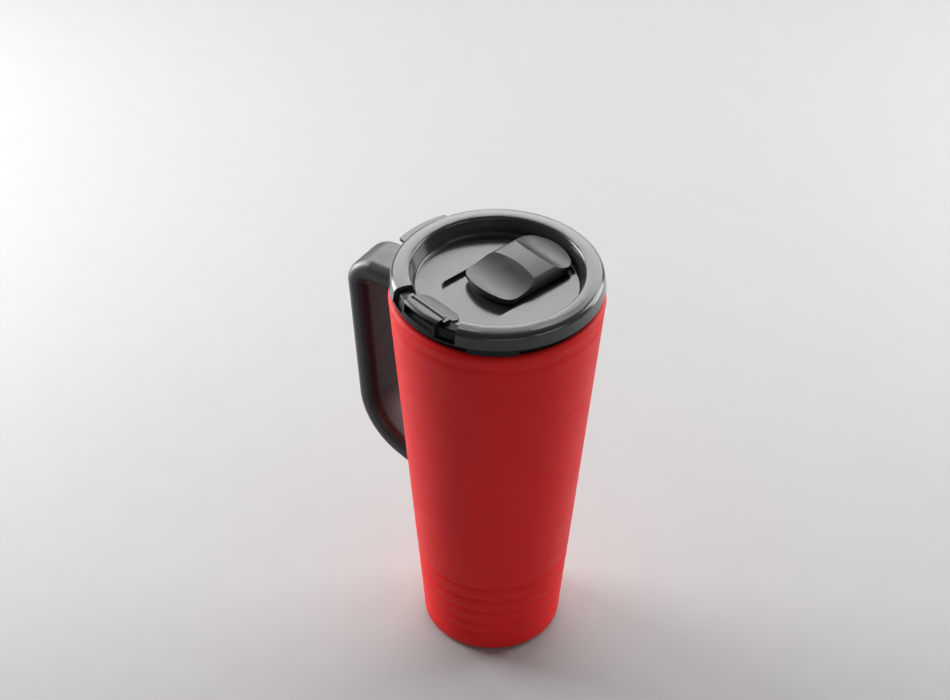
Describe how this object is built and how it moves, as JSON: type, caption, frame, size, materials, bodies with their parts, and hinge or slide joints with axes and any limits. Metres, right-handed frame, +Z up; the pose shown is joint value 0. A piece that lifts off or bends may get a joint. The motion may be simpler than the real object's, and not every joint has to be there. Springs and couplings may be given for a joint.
{
  "type": "insulated travel mug",
  "caption": "Tall tapered double-wall steel travel mug with a side handle and a press-in lid that has a sliding drink closure and a small hinged vent flap.",
  "frame": {"origin": "centre of the base's flat face, on the mug's axis", "axes": "+Z up along the mug's axis; the handle points along -X"},
  "size_m": [0.1273, 0.0996, 0.2122],
  "materials": {
    "red_coat": "soft matte powder coat",
    "steel": "brushed",
    "braze": "dull brazed bead",
    "getter_alloy": "matte sintered",
    "foot_rubber": "matte moulded rubber",
    "handle_plastic": "moulded",
    "soft_grip": "soft-touch, fine moulded dashes",
    "screw_steel": "zinc plated",
    "gloss_cover": "glossy smoke grey",
    "lid_dark": "satin",
    "silicone": "satin silicone",
    "magnet": "nickel plated",
    "pin_steel": "ground",
    "slider_satin": "satin",
    "flap_gloss": "semi-gloss"
  },
  "bodies": {
    "mug": {"outer_shell": "red_coat", "inner_liner": "steel", "base_cap": "steel", "vacuum_seal_bead": "braze", "getter": "getter_alloy", "foot_pad": "foot_rubber", "upper_bracket": "steel", "lower_bracket": "steel", "handle_core": "handle_plastic", "handle_grip": "soft_grip", "handle_screws": "screw_steel"},
    "lid": {"lid_cover": "gloss_cover", "lid_base": "lid_dark", "lid_gasket": "silicone", "lid_magnets": "magnet", "flap_hinge_pin": "pin_steel"},
    "slider": {"slider_cap": "slider_satin", "slider_plate": "lid_dark", "slider_magnets": "magnet", "slider_seal": "silicone"},
    "flap": {"flap": "flap_gloss", "flap_plug": "silicone"}
  },
  "joints": [
    {"name": "lid_lift", "type": "slide", "parent": "mug", "child": "lid", "axis": [0, 0, 1], "range_m": [0, 0.06]},
    {"name": "slider_slide", "type": "slide", "parent": "lid", "child": "slider", "axis": [-0.2504, -0.9681, 0], "range_m": [0, 0.014]},
    {"name": "flap_hinge", "type": "hinge", "parent": "lid", "child": "flap", "pos_m": [-0.01027, -0.03969, 0.2103], "axis": [0.9681, -0.2504, 0], "range_deg": [0, 90]}
  ]
}
